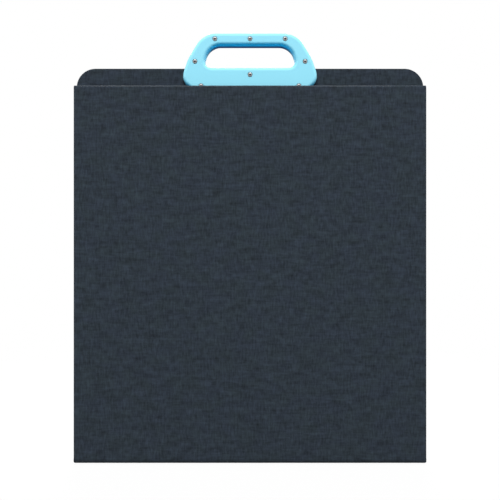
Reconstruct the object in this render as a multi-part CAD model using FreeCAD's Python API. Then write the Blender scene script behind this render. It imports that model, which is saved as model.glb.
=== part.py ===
"""Folding solar suitcase: four hinged panel leaves with a moulded carry handle, stored folded.

Frame: millimetres, +Z up, +X to the right of the plain front cover, +Y towards the back.
The origin is under the middle of the folded case, on the surface that it stands on.
Folded, the leaves stand one behind the other: front, third, second and rear leaf.
"""
import FreeCAD, Part
import math
import os

from FreeCAD import Vector

# ---------------------------------------------------------------- leaves
CASE_WIDTH = 590.0             # side to side, the same for every leaf
FRONT_LEAF_TOP = 632.9         # height of the plain front cover
REAR_LEAF_TOP = 665.8          # height of the tab that carries the handle
BELOW_HANDLE = 17.5            # the two inner leaves stop short below the handle
TAB_CORNER = 32.0              # radius of the tab's two top corners
LEAF_CORNER = 3.0              # radius of the other leaves' corners
COVER_CLOTH = 1.2              # woven cover behind each leaf and round its edges
BOARD = 3.2                    # stiff board inside each leaf
FACE_CLOTH = 1.2               # cloth frame on the cell side, over the panel's rim
CELL_GAP = 1.6                 # air between two leaves that face each other
BACK_GAP = 1.6                 # air between two leaves that stand back to back
COVER_BEVEL = 1.4              # soft outer edge of a cover

# ---------------------------------------------------------------- solar panel in each leaf
CELL = 166.0                   # one square cell
CELL_CHAMFER = 8.0             # its cut corners
CELL_SPACING = 4.0             # between two cells
CELLS_ACROSS = 3
CELLS_UP = 3
PANEL_MARGIN = 12.0            # panel beyond the cells, each way
CELL_EDGE = 1.0                # bed of the cells in the backsheet, beyond them
FRAME_OVERLAP = 6.0            # cloth frame over the panel's rim
WINDOW_CORNER = 6.0
BACKSHEET = 0.8
CELL_THICK = 0.3
CLEAR_SHEET = 0.6

# ---------------------------------------------------------------- cloth folds
FOOT = 8.0                     # height of the bottom folds, which the case stands on
FOOT_ROUND = 6.0               # rounding of a bottom fold's section
FOOT_CORNER = 3.0              # its two ends, seen from the front
LOW_AXIS = 2.0                 # height at which the leaves turn about a bottom fold
TOP_FOLD = 6.0                 # height of the top fold above the inner leaves

# ---------------------------------------------------------------- closing magnets
MAGNET_WIDTH = 12.0            # flat bars, upright
MAGNET_HEIGHT = 20.0
MAGNET_THICK = 1.6
MAGNET_INSET = 16.0            # from a leaf's side
MAGNET_DROP = 20.0             # from an inner leaf's top or foot

# ---------------------------------------------------------------- handle
HANDLE_DROP = 40.3             # its foot below the tab's top
HANDLE_FRONT = 14.0            # front shell proud of the tab
HANDLE_REAR = 7.0              # rear shell proud of the tab
HANDLE_EDGE = 3.2              # bevel of the front shell's edges
HANDLE_REAR_EDGE = 2.4         # bevel of the rear shell's edges
HANDLE_TOP_RADIUS = 36.0
HANDLE_SHOULDER_RADIUS = 60.0
HANDLE_HIP_RADIUS = 20.0
HANDLE_FOOT_RADIUS = 8.0
TOP_CORNER_OUT = 10.6          # the top line meets the shoulder line beyond the opening's corner
SIDE_RAIL = 23.4               # from the opening's sill corner out to the bend of the shoulder
SHOULDER_RISE = 16.1           # that bend above the sill
HIP_FLARE = 12.3               # the side line runs out to the hip by this much more
HIP_RISE = 20.9                # the hip above the foot
FOOT_CUT = 24.9                # below the hip the outline runs in again by this much
GRIP_HEIGHT = 38.4             # finger opening, sill to grip bar
GRIP_BAR = 19.9                # height of the grip bar over it
GRIP_TOP_CORNER = 68.0         # half width of the opening at its top
GRIP_TOP_RADIUS = 25.0
GRIP_FLARE = 13.0              # each side wider at the sill
GRIP_SILL_RADIUS = 12.5
SILL_RAIL = 6.1                # the sill above the bottom of the tab's notch
NOTCH_BEYOND = 11.0            # tab's notch beyond the opening's sill corner
TAB_NOTCH_DEPTH = 7.0
TAB_CLEARANCE = 0.3            # between the tab's edge and the shells

# ---------------------------------------------------------------- handle screws
TOP_SCREW_IN = 8.7             # outer top screws, in from the opening's top corner
SIDE_SCREW_SHARE = 0.508       # side screws across the side rail, from the opening outwards
SIDE_SCREW_UP = 10.2           # above the sill
MIDDLE_SCREW_DOWN = 5.9        # below the bottom of the tab's notch
LOW_SCREW_IN = 9.3             # in from the foot's corner
LOW_SCREW_UP = 8.4             # above the foot
SCREW_D = 4.0
SCREW_SHORT = 0.4              # the screw's tip stops short of its hole's end
SCREW_CLEARANCE = 0.2          # on the radius, in the holes
HEAD_D = 7.4
HEAD_HEIGHT = 2.2
HEAD_RECESS_D = 8.6
HEAD_RECESS = 1.5
SCREW_COVER = 2.0              # plastic behind the screws' blind holes
THREAD_CLEARANCE = 0.05        # on the radius, between a screw and its blind hole

# ---------------------------------------------------------------- stands behind the rear leaf
STAND_WIDTH = 160.0            # along Z
STAND_REACH = 420.0            # from its hinge to its foot
STAND_HINGE_IN = 49.0          # hinge line in from the case's side
STAND_THICK = 5.0
STAND_CLOTH = 1.0
STAND_CORNER = 22.0
STAND_LOW_RISE = 40.0          # lower stand above the leaf's foot
STAND_HIGH_DROP = 33.5         # upper stand below the handle
PAD_THICK = 0.8                # half of a hook-and-loop pair
PAD_WIDTH = 26.0
PAD_LENGTH = 70.0
PAD_INSET = 22.0               # from the stand's foot
TAPE_THICK = 1.0
TAPE_BEND = 0.8                # turn of the tape where it leaves the cover
TAPE_CLEARANCE = 0.3           # between the tape and the end of the stand
TAPE_ON_COVER = 26.0
TAPE_ON_STAND = 24.0
TAPE_INSET = 6.0               # from the stand's sides

# ---------------------------------------------------------------- cable pocket between the stands
POCKET_INSET = 90.0            # in from the case's side
POCKET_ABOVE = 36.0            # its foot above the lower stand
POCKET_MOUTH = 8.0             # its mouth below the flap's hinge line
POCKET_DEPTH = 14.5
POCKET_CLOTH = 1.2
POCKET_CORNER = 12.0
POCKET_BEVEL = 1.6             # its outer edges
FLAP_BELOW = 32.0              # flap's hinge line below the upper stand
FLAP_DROP = 74.0
FLAP_SIDE = 8.0                # flap beyond the pocket's sides
FLAP_CLOTH = 1.2
FLAP_BEND = 4.0
FLAP_CLEARANCE = 0.3
STUD_IN = 55.0                 # outer studs in from the pocket's side
STUD_D = 11.0
STUD_CAP = 1.6
STUD_BEVEL = 0.8
STUD_SOCKET_D = 9.0
STUD_POST_D = 3.6
STUD_UP = 14.0                 # above the flap's lower edge

# ---------------------------------------------------------------- junction box in the pocket
BOX_LENGTH = 116.0
BOX_HEIGHT = 58.0
BOX_BASE = 7.4
BOX_LID = 2.2
BOX_SEAL = 0.6
BOX_WALL = 2.4
BOX_CORNER = 6.0
BOX_BEVEL = 0.8                # upper edge of the lid
LID_SKIRT = 2.4                # the lid snaps in by a skirt inside the tray
SKIRT_WALL = 1.4
SKIRT_CLEARANCE = 0.1
BOX_DOWN = 6.0                 # below the middle of the pocket
SEAL_INSET = 0.4               # seal in from the box's outside
GLAND_NECK_D = 5.0
GLAND_NUT = 6.4                # six-sided nut, across its flats
GLAND_NUT_LENGTH = 4.0
GLAND_LENGTH = 14.0
GLAND_BORE = 3.4

# ---------------------------------------------------------------- worked out from the above
PANEL_THICK = BACKSHEET + CLEAR_SHEET
FACE_THICK = PANEL_THICK + FACE_CLOTH
LEAF_THICK = COVER_CLOTH + BOARD + FACE_THICK
STAND_GAP = 2 * PAD_THICK
POCKET_STACK = POCKET_DEPTH + FLAP_CLEARANCE + FLAP_CLOTH + STUD_CAP
DEPTH = 4 * LEAF_THICK + 2 * CELL_GAP + BACK_GAP + POCKET_STACK
CASE_FRONT = -DEPTH / 2
FRONT_BACK = CASE_FRONT                                   # outer face of the front leaf
THIRD_BACK = FRONT_BACK + 2 * LEAF_THICK + CELL_GAP
SECOND_BACK = THIRD_BACK + BACK_GAP
REAR_BACK = SECOND_BACK + 2 * LEAF_THICK + CELL_GAP       # outer face of the rear leaf
TAB_FRONT = REAR_BACK - LEAF_THICK
HANDLE_BOTTOM = REAR_LEAF_TOP - HANDLE_DROP
INNER_LEAF_TOP = HANDLE_BOTTOM - BELOW_HANDLE
NOTCH_BOTTOM = REAR_LEAF_TOP - TAB_NOTCH_DEPTH
GRIP_SILL = NOTCH_BOTTOM + SILL_RAIL                      # lower edge of the finger opening
GRIP_UNDER = GRIP_SILL + GRIP_HEIGHT                      # underside of the grip bar
HANDLE_TOP = GRIP_UNDER + GRIP_BAR
GRIP_SILL_CORNER = GRIP_TOP_CORNER + GRIP_FLARE
HANDLE_TOP_CORNER = GRIP_TOP_CORNER + TOP_CORNER_OUT
HANDLE_SHOULDER = GRIP_SILL_CORNER + SIDE_RAIL
HANDLE_SHOULDER_Z = GRIP_SILL + SHOULDER_RISE
HANDLE_HIP = HANDLE_SHOULDER + HIP_FLARE
HANDLE_HIP_Z = HANDLE_BOTTOM + HIP_RISE
HANDLE_FOOT = HANDLE_HIP - FOOT_CUT
TAB_NOTCH = GRIP_SILL_CORNER + NOTCH_BEYOND
FRONT_FOLD_Y = FRONT_BACK + LEAF_THICK + CELL_GAP / 2
REAR_FOLD_Y = SECOND_BACK + LEAF_THICK + CELL_GAP / 2
TOP_FOLD_Y = THIRD_BACK + BACK_GAP / 2
HALF = CASE_WIDTH / 2
STAND_HINGE_X = HALF - STAND_HINGE_IN
STAND_LOW_Z = FOOT + STAND_LOW_RISE                       # lower edge of the lower stand
STAND_HIGH_Z = HANDLE_BOTTOM - STAND_HIGH_DROP - STAND_WIDTH
POCKET_HALF = HALF - POCKET_INSET
POCKET_BOTTOM = STAND_LOW_Z + STAND_WIDTH + POCKET_ABOVE
FLAP_HINGE_Z = STAND_HIGH_Z - FLAP_BELOW
POCKET_TOP = FLAP_HINGE_Z - POCKET_MOUTH
BOX_Z = (POCKET_BOTTOM + POCKET_TOP) / 2 - BOX_DOWN
CELLS_WIDE = CELLS_ACROSS * CELL + (CELLS_ACROSS - 1) * CELL_SPACING
CELLS_HIGH = CELLS_UP * CELL + (CELLS_UP - 1) * CELL_SPACING
PANEL_Z = (FOOT + INNER_LEAF_TOP) / 2
TINY = 0.001


# ================================================================ shapes
def rounded_loop(corners, place):
    """A closed wire through corners (u, v, radius), each corner turned by an arc of its radius."""
    count = len(corners)
    stretches = []
    for i in range(count):
        u, v, radius = corners[i]
        before = Vector(*corners[i - 1][:2], 0) - Vector(u, v, 0)
        after = Vector(*corners[(i + 1) % count][:2], 0) - Vector(u, v, 0)
        corner = Vector(u, v, 0)
        if radius <= 0:
            stretches.append((corner, None, corner))
            continue
        before.normalize()
        after.normalize()
        half = before.getAngle(after) / 2
        middle = before + after
        middle.normalize()
        start = corner + before * (radius / math.tan(half))
        end = corner + after * (radius / math.tan(half))
        top = corner + middle * (radius / math.sin(half) - radius)
        stretches.append((start, top, end))
    edges = []
    for i in range(count):
        start, top, end = (p and place(p.x, p.y) for p in stretches[i])
        if top:
            edges.append(Part.Arc(start, top, end).toShape())
        following = stretches[(i + 1) % count][0]
        following = place(following.x, following.y)
        if following.distanceToPoint(end) > TINY:
            edges.append(Part.makeLine(end, following))
    return Part.Wire(edges)


def prism_y(corners, y0, y1):
    """An outline seen from the front, (x, z, radius), between two depths."""
    face = Part.Face(rounded_loop(corners, lambda u, v: Vector(u, y0, v)))
    return face.extrude(Vector(0, y1 - y0, 0))


def prism_x(corners, x0, x1):
    """A section seen from the side, (y, z, radius), between two widths."""
    face = Part.Face(rounded_loop(corners, lambda u, v: Vector(x0, u, v)))
    return face.extrude(Vector(x1 - x0, 0, 0))


def prism_z(corners, z0, z1):
    """A section seen from above, (x, y, radius), between two heights."""
    face = Part.Face(rounded_loop(corners, lambda u, v: Vector(u, v, z0)))
    return face.extrude(Vector(0, 0, z1 - z0))


def rectangle(u0, u1, v0, v1, r_low=0.0, r_high=None):
    """Corners of a rectangle, its lower and upper corners with their own radii."""
    r_high = r_low if r_high is None else r_high
    return [(u0, v0, r_low), (u1, v0, r_low), (u1, v1, r_high), (u0, v1, r_high)]


def mirrored(right_side):
    """A closed outline from its right side, listed from the bottom up, and the same on the left."""
    return right_side + [(-u, v, r) for u, v, r in reversed(right_side)]


def rod(x, z, diameter, y0, y1):
    """A round bar along Y."""
    return Part.makeCylinder(diameter / 2, y1 - y0, Vector(x, y0, z), Vector(0, 1, 0))


def turned(x, z, section):
    """A round piece along Y, turned from its half section (radius, y)."""
    points = [Vector(radius, y, 0) for radius, y in section]
    face = Part.Face(Part.makePolygon(points + points[:1]))
    solid = face.revolve(Vector(0, 0, 0), Vector(0, 1, 0), 360)
    solid.translate(Vector(x, 0, z))
    return solid


def hexagon(u, v, across, radius=0.0):
    """Six corners round a centre, two flats upright."""
    reach = across / math.sqrt(3)
    turns = [math.radians(30 + 60 * i) for i in range(6)]
    return [(u + reach * math.cos(a), v + reach * math.sin(a), radius) for a in turns]


def bevel_edges(shape, size, wanted):
    """Bevel the edges that the test picks."""
    return shape.makeChamfer(size, [e for e in shape.Edges if wanted(e)])


def middle_of(edge):
    return edge.valueAt((edge.FirstParameter + edge.LastParameter) / 2)


def on_plane_y(edge, y):
    """True for an edge that lies at one depth all along."""
    return abs(edge.BoundBox.YMin - y) < TINY and abs(edge.BoundBox.YMax - y) < TINY


def write(name, *solids):
    """One file for one node: a solid, or a group of separate solids."""
    bodies = [s for shape in solids for s in shape.Solids]
    shape = bodies[0] if len(bodies) == 1 else Part.makeCompound(bodies)
    if not shape.isValid():
        raise ValueError(name + " isn't a valid solid")
    shape.exportStep(os.path.join("parts", name + ".step"))
    return shape


# ================================================================ one leaf
def leaf_outline(top, corner, foot_corner, inset, notched):
    """A leaf seen from the front, drawn in by inset; the tab is notched under the handle."""
    edge = HALF - inset
    right = [(edge, FOOT + inset, foot_corner), (edge, top - inset, corner)]
    if notched:
        right.append((TAB_NOTCH + inset, top - inset, 0.0))
        right.append((TAB_NOTCH + inset, top - TAB_NOTCH_DEPTH - inset, 0.0))
    return mirrored(right)


def magnet_places(back_to_back):
    """Upper corners, and the lower ones too on a leaf that another stands back to back with."""
    x = HALF - MAGNET_INSET
    places = [(side * x, INNER_LEAF_TOP - MAGNET_DROP, "face") for side in (-1, 1)]
    if back_to_back:
        places += [(side * x, FOOT + MAGNET_DROP, "back") for side in (-1, 1)]
    return places


def cell_outline(x, z):
    """A square cell with its corners cut, centred on x, z."""
    half = CELL / 2
    cut = half - CELL_CHAMFER
    quarter = [(cut, half), (half, cut), (half, -cut), (cut, -half)]
    points = quarter + [(-u, -v) for u, v in quarter]
    return [(x + u, z + v, 0.0) for u, v in points]


def build_leaf(name, back, facing, top, corner, notched=False, back_to_back=False, holes=()):
    """The layers of one leaf, from its back cover to its cell side; facing is +1 or -1 along Y."""
    def at(depth):
        return back + facing * depth

    def layer(corners, near, far):
        return prism_y(corners, min(at(near), at(far)), max(at(near), at(far)))

    def drill(shape):
        for x, z in holes:
            y0 = min(at(0), at(LEAF_THICK))
            shape = shape.cut(rod(x, z, SCREW_D + 2 * SCREW_CLEARANCE, y0, y0 + LEAF_THICK))
        return shape

    board_face = COVER_CLOTH + BOARD
    outline = leaf_outline(top, corner, LEAF_CORNER, 0.0, notched)
    board_corner = corner - COVER_CLOTH if notched else 0.0     # small corners are cut square
    inner = leaf_outline(top, board_corner, 0.0, COVER_CLOTH, notched)

    def outer_rim(edge):
        point = middle_of(edge)
        if point.z < FOOT + TINY:
            return False
        if back_to_back and point.z > top - LEAF_CORNER - TINY:
            return False
        return not (notched and abs(point.x) < TAB_NOTCH + TINY)

    cover = layer(outline, 0, board_face)
    cover = bevel_edges(cover, COVER_BEVEL, lambda e: on_plane_y(e, at(0)) and outer_rim(e))
    cover = drill(cover.cut(layer(inner, COVER_CLOTH, board_face)))

    board = drill(layer(inner, COVER_CLOTH, board_face))
    magnets = []
    for x, z, side in magnet_places(back_to_back):
        near, far = (board_face - MAGNET_THICK, board_face)
        if side == "back":
            near, far = (COVER_CLOTH, COVER_CLOTH + MAGNET_THICK)
        half_wide, half_high = (MAGNET_WIDTH / 2, MAGNET_HEIGHT / 2)
        bar = rectangle(x - half_wide, x + half_wide, z - half_high, z + half_high)
        magnets.append(layer(bar, near, far))
    for magnet in magnets:
        board = board.cut(magnet)

    half_wide = CELLS_WIDE / 2 + PANEL_MARGIN
    half_high = CELLS_HIGH / 2 + PANEL_MARGIN
    panel = rectangle(-half_wide, half_wide, PANEL_Z - half_high, PANEL_Z + half_high)
    window = rectangle(
        -half_wide + FRAME_OVERLAP, half_wide - FRAME_OVERLAP,
        PANEL_Z - half_high + FRAME_OVERLAP, PANEL_Z + half_high - FRAME_OVERLAP,
        WINDOW_CORNER,
    )
    cells = []
    pitch = CELL + CELL_SPACING
    for row in range(CELLS_UP):
        for column in range(CELLS_ACROSS):
            x = (column - (CELLS_ACROSS - 1) / 2) * pitch
            z = PANEL_Z + (row - (CELLS_UP - 1) / 2) * pitch
            face = board_face + BACKSHEET
            cells.append(layer(cell_outline(x, z), face - CELL_THICK, face))
    wide, high = (CELLS_WIDE / 2 + CELL_EDGE, CELLS_HIGH / 2 + CELL_EDGE)
    bed = rectangle(-wide, wide, PANEL_Z - high, PANEL_Z + high)
    backsheet = layer(panel, board_face, board_face + BACKSHEET)
    backsheet = backsheet.cut(layer(bed, board_face + BACKSHEET - CELL_THICK, board_face + BACKSHEET))
    clear = layer(panel, board_face + BACKSHEET, board_face + PANEL_THICK)

    face_cover = layer(outline, board_face, LEAF_THICK)
    face_cover = face_cover.cut(layer(panel, board_face, board_face + PANEL_THICK))
    face_cover = drill(face_cover.cut(layer(window, board_face, LEAF_THICK)))

    write(name + "_back_cover", cover)
    write(name + "_board", board)
    write(name + "_magnets", *magnets)
    write(name + "_backsheet", backsheet)
    write(name + "_cells", *cells)
    write(name + "_clear_sheet", clear)
    write(name + "_face_cover", face_cover)


# ================================================================ cloth folds
def build_bottom_fold(name, y):
    """The cover cloth carried under two leaves, from one back cover round to the other."""
    reach = LEAF_THICK + CELL_GAP / 2
    inner = reach - COVER_CLOTH
    outside = prism_x(
        [(y - reach, 0, FOOT_ROUND), (y + reach, 0, FOOT_ROUND), (y + reach, FOOT, 0), (y - reach, FOOT, 0)],
        -HALF, HALF,
    )
    hollow = prism_x(
        [
            (y - inner, COVER_CLOTH, FOOT_ROUND - COVER_CLOTH),
            (y + inner, COVER_CLOTH, FOOT_ROUND - COVER_CLOTH),
            (y + inner, FOOT, 0),
            (y - inner, FOOT, 0),
        ],
        -HALF, HALF,
    )
    ends = prism_y(rectangle(-HALF, HALF, 0, FOOT, FOOT_CORNER, 0.0), y - reach, y + reach)
    write(name, outside.common(ends).cut(hollow))


def build_top_fold(name, y):
    """The narrow fold over the two inner leaves, which stand back to back."""
    reach = BACK_GAP / 2 + COVER_CLOTH
    slack = 0.9                                    # share of the half width that the arcs take
    top = INNER_LEAF_TOP + TOP_FOLD
    gap = BACK_GAP / 2
    outside = prism_x(
        [
            (y - reach, INNER_LEAF_TOP, 0), (y + reach, INNER_LEAF_TOP, 0),
            (y + reach, top, slack * reach), (y - reach, top, slack * reach),
        ],
        -HALF, HALF,
    )
    hollow = prism_x(
        [
            (y - gap, INNER_LEAF_TOP, 0), (y + gap, INNER_LEAF_TOP, 0),
            (y + gap, top - COVER_CLOTH, slack * gap), (y - gap, top - COVER_CLOTH, slack * gap),
        ],
        -HALF, HALF,
    )
    ends = prism_y(rectangle(-HALF, HALF, INNER_LEAF_TOP, top, 0.0, LEAF_CORNER), y - reach, y + reach)
    write(name, outside.common(ends).cut(hollow))


# ================================================================ handle
def handle_outline():
    """Outer outline: a level top, sloping shoulders, wide hips and a foot tucked in below them."""
    return mirrored([
        (HANDLE_FOOT, HANDLE_BOTTOM, HANDLE_FOOT_RADIUS),
        (HANDLE_HIP, HANDLE_HIP_Z, HANDLE_HIP_RADIUS),
        (HANDLE_SHOULDER, HANDLE_SHOULDER_Z, HANDLE_SHOULDER_RADIUS),
        (HANDLE_TOP_CORNER, HANDLE_TOP, HANDLE_TOP_RADIUS),
    ])


def grip_outline():
    """The finger opening, wider at its sill than under the grip bar."""
    return mirrored([
        (GRIP_SILL_CORNER, GRIP_SILL, GRIP_SILL_RADIUS),
        (GRIP_TOP_CORNER, GRIP_UNDER, GRIP_TOP_RADIUS),
    ])


def screw_places():
    """Where the eight screws go, from the top bar down to the foot."""
    bar_middle = GRIP_UNDER + GRIP_BAR / 2
    places = [(0.0, bar_middle), (0.0, NOTCH_BOTTOM - MIDDLE_SCREW_DOWN)]
    for side in (-1, 1):
        places.append((side * (GRIP_TOP_CORNER - TOP_SCREW_IN), bar_middle))
        places.append((side * (GRIP_SILL_CORNER + SIDE_SCREW_SHARE * SIDE_RAIL), GRIP_SILL + SIDE_SCREW_UP))
        places.append((side * (HANDLE_FOOT - LOW_SCREW_IN), HANDLE_BOTTOM + LOW_SCREW_UP))
    return places


def tab_screw_places():
    """The screws that pass through the tab as well as both shells."""
    return [(x, z) for x, z in screw_places() if z < NOTCH_BOTTOM]


def shell_blank(inside, outside):
    """A solid half of the handle between two depths, round the finger opening."""
    near, far = min(inside, outside), max(inside, outside)
    return prism_y(handle_outline(), near, far).cut(prism_y(grip_outline(), near, far))


def tab_space(near, far):
    """The room that the tab takes between the shells, with its notch left to the handle."""
    top = REAR_LEAF_TOP + TAB_CLEARANCE
    notch = TAB_NOTCH - TAB_CLEARANCE
    right = [
        (HALF, 0.0, 0.0), (HALF, top, 0.0), (notch, top, 0.0), (notch, top - TAB_NOTCH_DEPTH, 0.0),
    ]
    return prism_y(mirrored(right), near, far)


def build_handle():
    """Two moulded halves that clamp the tab between them, joined by eight screws from the front."""
    parting = TAB_FRONT + LEAF_THICK / 2
    face = TAB_FRONT - HANDLE_FRONT
    back = REAR_BACK + HANDLE_REAR
    seat = face + HEAD_RECESS
    hole_end = back - SCREW_COVER
    tip = hole_end - SCREW_SHORT
    front = bevel_edges(shell_blank(parting, face), HANDLE_EDGE, lambda e: on_plane_y(e, face))
    front = front.cut(tab_space(TAB_FRONT, parting))
    rear = bevel_edges(shell_blank(parting, back), HANDLE_REAR_EDGE, lambda e: on_plane_y(e, back))
    rear = rear.cut(tab_space(parting, REAR_BACK))
    screws = []
    for x, z in screw_places():
        front = front.cut(rod(x, z, SCREW_D + 2 * SCREW_CLEARANCE, face, parting))
        front = front.cut(rod(x, z, HEAD_RECESS_D, face, seat))
        rear = rear.cut(rod(x, z, SCREW_D + 2 * THREAD_CLEARANCE, parting, hole_end))
        screws.append(turned(x, z, [
            (0, seat - HEAD_HEIGHT), (HEAD_D / 2, seat - HEAD_HEIGHT), (HEAD_D / 2, seat),
            (SCREW_D / 2, seat), (SCREW_D / 2, tip), (0, tip),
        ]))
    write("handle_front_shell", front)
    write("handle_rear_shell", rear)
    write("handle_screws", *screws)


# ================================================================ stands
def build_stand(name, low):
    """A cloth-covered board that swings out on an upright hinge near the case's side."""
    inner = REAR_BACK + STAND_GAP
    outer = inner + STAND_THICK
    foot = STAND_HINGE_X - STAND_REACH
    hinge_end = STAND_HINGE_X + STAND_THICK / 2
    high = low + STAND_WIDTH
    bend = STAND_THICK / 2 - TINY
    outline = [
        (hinge_end, low, 0.0), (hinge_end, high, 0.0), (foot, high, STAND_CORNER), (foot, low, STAND_CORNER),
    ]
    section = [(foot, inner, 0), (hinge_end, inner, bend), (hinge_end, outer, bend), (foot, outer, 0)]
    envelope = prism_y(outline, inner, outer).common(prism_z(section, low, high))
    side = STAND_CLOTH
    board_outline = [
        (STAND_HINGE_X - side, low + side, 0.0), (STAND_HINGE_X - side, high - side, 0.0),
        (foot + side, high - side, STAND_CORNER - side), (foot + side, low + side, STAND_CORNER - side),
    ]
    board = prism_y(board_outline, inner + side, outer - side)
    write(name + "_cover", envelope.cut(board))
    write(name + "_board", board)

    centre = low + STAND_WIDTH / 2
    pad = rectangle(
        foot + PAD_INSET, foot + PAD_INSET + PAD_WIDTH, centre - PAD_LENGTH / 2, centre + PAD_LENGTH / 2,
    )
    write(name + "_hook_pad", prism_y(pad, inner - PAD_THICK, inner))
    write(name + "_loop_pad", prism_y(pad, REAR_BACK, REAR_BACK + PAD_THICK))

    turn = hinge_end + TAPE_CLEARANCE
    lane = outer + TAPE_THICK
    flat = turn + TAPE_ON_COVER
    lap = STAND_HINGE_X - TAPE_ON_STAND
    tape = prism_z(
        [
            (flat, REAR_BACK, 0), (flat, REAR_BACK + TAPE_THICK, 0),
            (turn + TAPE_THICK, REAR_BACK + TAPE_THICK, TAPE_BEND),
            (turn + TAPE_THICK, lane, bend + TAPE_THICK), (lap, lane, 0), (lap, outer, 0),
            (turn, outer, bend), (turn, REAR_BACK, 0),
        ],
        low + TAPE_INSET, high - TAPE_INSET,
    )
    write(name + "_hinge_tape", tape)


# ================================================================ pocket and junction box
def build_pocket():
    """A flat cloth pouch, open at its top, under a flap that folds over its mouth."""
    outer = REAR_BACK + POCKET_DEPTH
    outline = rectangle(-POCKET_HALF, POCKET_HALF, POCKET_BOTTOM, POCKET_TOP, POCKET_CORNER, 0.0)
    inside = rectangle(
        -POCKET_HALF + POCKET_CLOTH, POCKET_HALF - POCKET_CLOTH, POCKET_BOTTOM + POCKET_CLOTH,
        POCKET_TOP, POCKET_CORNER - POCKET_CLOTH, 0.0,
    )
    body = prism_y(outline, REAR_BACK, outer)
    body = bevel_edges(
        body, POCKET_BEVEL, lambda e: on_plane_y(e, outer) and middle_of(e).z < POCKET_TOP - TINY,
    )
    body = body.cut(prism_y(inside, REAR_BACK, outer - POCKET_CLOTH))
    studs = [side * (POCKET_HALF - STUD_IN) for side in (-1, 0, 1)]

    hinge_y = REAR_BACK + FLAP_CLEARANCE + FLAP_CLOTH / 2
    under = outer + FLAP_CLEARANCE
    over = under + FLAP_CLOTH
    low = FLAP_HINGE_Z - FLAP_DROP
    half_cloth = FLAP_CLOTH / 2
    round_end = half_cloth - TINY
    flap = prism_x(
        [
            (hinge_y - half_cloth, FLAP_HINGE_Z - half_cloth, round_end),
            (under, FLAP_HINGE_Z - half_cloth, FLAP_BEND),
            (under, low, 0), (over, low, 0),
            (over, FLAP_HINGE_Z + half_cloth, FLAP_BEND + FLAP_CLOTH),
            (hinge_y - half_cloth, FLAP_HINGE_Z + half_cloth, round_end),
        ],
        -POCKET_HALF - FLAP_SIDE, POCKET_HALF + FLAP_SIDE,
    )
    front = rectangle(
        -POCKET_HALF - FLAP_SIDE, POCKET_HALF + FLAP_SIDE, low, FLAP_HINGE_Z + half_cloth, POCKET_CORNER, 0.0,
    )
    flap = flap.common(prism_y(front, hinge_y - half_cloth, over))
    stud_z = low + STUD_UP
    caps = []
    sockets = []
    for x in studs:
        flap = flap.cut(rod(x, stud_z, STUD_POST_D, under, over))
        top = over + STUD_CAP
        caps.append(turned(x, stud_z, [
            (0, under), (STUD_POST_D / 2, under), (STUD_POST_D / 2, over), (STUD_D / 2, over),
            (STUD_D / 2, top - STUD_BEVEL), (STUD_D / 2 - STUD_BEVEL, top), (0, top),
        ]))
        seat = rod(x, stud_z, STUD_SOCKET_D, outer - POCKET_CLOTH, outer)
        body = body.cut(seat)
        sockets.append(seat)
    write("pocket_body", body)
    write("pocket_flap", flap)
    write("pocket_stud_caps", *caps)
    write("pocket_stud_sockets", *sockets)


def build_junction_box():
    """A slim box sewn into the pocket: tray, seal, snap-in lid and a cable gland."""
    half_long = BOX_LENGTH / 2
    half_high = BOX_HEIGHT / 2

    def outline(inset):
        return rectangle(
            -half_long + inset, half_long - inset, BOX_Z - half_high + inset, BOX_Z + half_high - inset,
            BOX_CORNER - inset,
        )

    rim = REAR_BACK + BOX_BASE
    lid_under = rim + BOX_SEAL
    lid_over = lid_under + BOX_LID
    tray = prism_y(outline(0.0), REAR_BACK, rim)
    tray = tray.cut(prism_y(outline(BOX_WALL), REAR_BACK + BOX_WALL, rim))
    seal = prism_y(outline(SEAL_INSET), rim, lid_under).cut(prism_y(outline(BOX_WALL), rim, lid_under))
    lid = bevel_edges(prism_y(outline(0.0), lid_under, lid_over), BOX_BEVEL, lambda e: on_plane_y(e, lid_over))
    skirt_out = BOX_WALL + SKIRT_CLEARANCE
    skirt = prism_y(outline(skirt_out), lid_under - LID_SKIRT, lid_under)
    lid = lid.fuse(skirt.cut(prism_y(outline(skirt_out + SKIRT_WALL), lid_under - LID_SKIRT, lid_under)))
    gland_y = REAR_BACK + BOX_BASE / 2
    start = half_long

    def bar(diameter, x0, x1):
        return Part.makeCylinder(diameter / 2, x1 - x0, Vector(x0, gland_y, BOX_Z), Vector(1, 0, 0))

    tray = tray.cut(bar(GLAND_NECK_D, start - BOX_WALL, start))
    nut = prism_x(hexagon(gland_y, BOX_Z, GLAND_NUT), start, start + GLAND_NUT_LENGTH)
    gland = nut.fuse(bar(GLAND_NECK_D, start - BOX_WALL, start + GLAND_LENGTH))
    gland = gland.cut(bar(GLAND_BORE, start - BOX_WALL, start + GLAND_LENGTH))
    write("junction_box_tray", tray)
    write("junction_box_seal", seal)
    write("junction_box_lid", lid)
    write("cable_gland", gland)


# ================================================================ the whole case
os.makedirs("parts", exist_ok=True)
build_leaf("rear_leaf", REAR_BACK, -1, REAR_LEAF_TOP, TAB_CORNER, notched=True, holes=tab_screw_places())
build_leaf("second_leaf", SECOND_BACK, 1, INNER_LEAF_TOP, LEAF_CORNER, back_to_back=True)
build_leaf("third_leaf", THIRD_BACK, -1, INNER_LEAF_TOP, LEAF_CORNER, back_to_back=True)
build_leaf("front_leaf", FRONT_BACK, 1, FRONT_LEAF_TOP, LEAF_CORNER)
build_bottom_fold("rear_bottom_fold", REAR_FOLD_Y)
build_bottom_fold("front_bottom_fold", FRONT_FOLD_Y)
build_top_fold("top_fold", TOP_FOLD_Y)
build_handle()
build_stand("lower_stand", STAND_LOW_Z)
build_stand("upper_stand", STAND_HIGH_Z)
build_pocket()
build_junction_box()
print("depth", DEPTH, "front fold y", FRONT_FOLD_Y, "rear fold y", REAR_FOLD_Y, "top fold y", TOP_FOLD_Y)
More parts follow.
